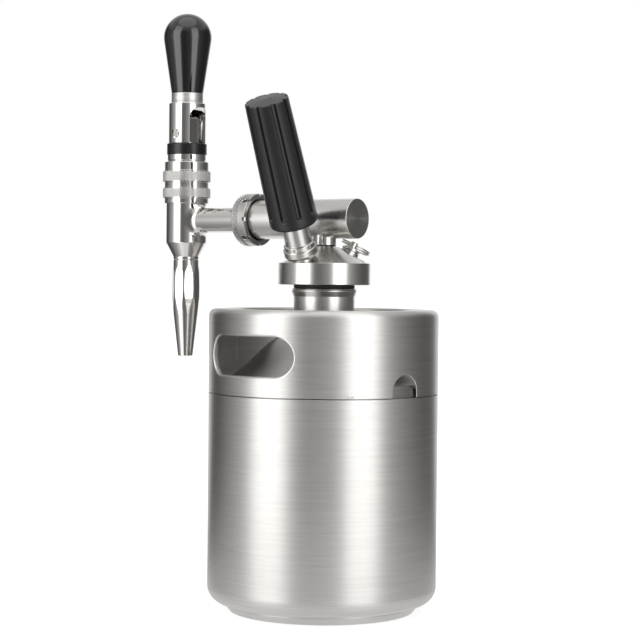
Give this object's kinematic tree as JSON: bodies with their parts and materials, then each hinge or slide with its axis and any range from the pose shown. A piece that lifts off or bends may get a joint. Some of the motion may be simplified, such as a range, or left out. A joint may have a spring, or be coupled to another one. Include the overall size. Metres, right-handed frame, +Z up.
{
  "type": "nitro cold brew coffee keg",
  "caption": "Small steel keg with handle slots, a screw-in tap head, a long-spout stout tap with a black knob, a tilted black gas cartridge sleeve and a relief valve with a pull ring.",
  "frame": {"origin": "centre of the foot ring on the table", "axes": "+Z up; the tap pours on the -Y side and the tap tube runs along Y; the gas sleeve leans towards +X"},
  "size_m": [0.1726, 0.2307, 0.4379],
  "materials": {
    "brushed_shell": "satin, brushed round",
    "satin_steel": "satin",
    "turned_steel": "fine turned",
    "polished_steel": "polished",
    "plain_steel": "plain",
    "spring_steel": "drawn wire",
    "cartridge_steel": "bright",
    "brass": "machined",
    "gloss_black": "glossy",
    "matte_black": "fine matt",
    "black_rubber": "matt",
    "white_plastic": "matt"
  },
  "bodies": {
    "keg": {"foot_ring": "satin_steel", "vessel_cup": "brushed_shell", "vessel_shoulder": "brushed_shell", "keg_neck": "satin_steel", "top_chime": "brushed_shell"},
    "lid_gasket": {"lid_seal": "black_rubber"},
    "head": {"lid_cap": "turned_steel", "dip_tube": "plain_steel", "dip_nut": "plain_steel", "dip_oring": "black_rubber", "post_seal": "black_rubber", "riser_post": "polished_steel", "tap_tube": "turned_steel", "coupling_nut": "satin_steel", "coupling_washer": "black_rubber", "faucet_body": "polished_steel", "spout_nozzle": "polished_steel", "spout_seal": "black_rubber", "restrictor_plate": "plain_steel", "flow_straightener": "white_plastic", "bonnet_core": "polished_steel", "bonnet_nut": "satin_steel", "lock_ring": "satin_steel", "friction_ring": "matte_black", "valve_spring": "spring_steel", "inlet_body": "satin_steel", "check_cage": "plain_steel", "check_spring": "spring_steel", "piercing_pin": "plain_steel", "gas_seal": "black_rubber", "relief_body": "plain_steel", "relief_spring": "spring_steel"},
    "valve": {"valve_stem": "plain_steel", "stem_oring": "black_rubber", "valve_seal": "black_rubber"},
    "tap_handle": {"lever": "polished_steel", "lever_pin": "plain_steel", "knob_ferrule": "plain_steel", "knob_stud": "plain_steel", "knob": "gloss_black"},
    "check_valve": {"check_poppet": "brass"},
    "cartridge": {"gas_cartridge": "cartridge_steel"},
    "sleeve": {"cartridge_sleeve": "matte_black", "sleeve_insert": "brass"},
    "relief_valve": {"relief_stem": "plain_steel", "relief_seal": "black_rubber"},
    "split_ring": {"pull_ring": "spring_steel"}
  },
  "joints": [
    {"name": "head_lift", "type": "slide", "parent": "keg", "child": "lid_gasket", "axis": [0, 0, 1], "range_m": [0, 0.225]},
    {"name": "head_turn", "type": "hinge", "parent": "lid_gasket", "child": "head", "pos_m": [0, 0, 0.234], "axis": [0, 0, 1], "range_deg": [-360, 360]},
    {"name": "valve_lift", "type": "slide", "parent": "head", "child": "valve", "axis": [0, 0, 1], "range_m": [0, 0.005], "stiffness_N_per_m": 2200, "springref_m": -0.006, "deforming": ["valve_spring"]},
    {"name": "lever_tilt", "type": "hinge", "parent": "valve", "child": "tap_handle", "pos_m": [0, -0.13, 0.3467], "axis": [1, 0, 0], "range_deg": [0, 20]},
    {"name": "cartridge_slide", "type": "slide", "parent": "head", "child": "cartridge", "axis": [0.4203, 0.0442, 0.9063], "range_m": [0, 0.006]},
    {"name": "sleeve_unscrew", "type": "hinge", "parent": "cartridge", "child": "sleeve", "pos_m": [0.05172, 0.00265, 0.30662], "axis": [0.4203, 0.0442, 0.9063], "range_deg": [0, 1440]},
    {"name": "check_open", "type": "slide", "parent": "head", "child": "check_valve", "axis": [-0.4203, -0.0442, -0.9063], "range_m": [0, 0.0015], "stiffness_N_per_m": 200, "springref_m": -0.003, "deforming": ["check_spring"]},
    {"name": "relief_pull", "type": "slide", "parent": "head", "child": "relief_valve", "axis": [-0.3909, 0.2737, 0.8788], "range_m": [0, 0.0012], "stiffness_N_per_m": 1500, "springref_m": -0.003, "deforming": ["relief_spring"]},
    {"name": "ring_swing", "type": "hinge", "parent": "relief_valve", "child": "split_ring", "pos_m": [-0.01818, 0.01273, 0.26266], "axis": [-0.3663, 0.8296, -0.4213], "range_deg": [-20, 90]}
  ],
  "couplings": [
    {"joint": "valve_lift", "follows": "lever_tilt", "m_per_rad": 0.0139},
    {"joint": "cartridge_slide", "follows": "sleeve_unscrew", "m_per_rad": 0.00023873}
  ]
}
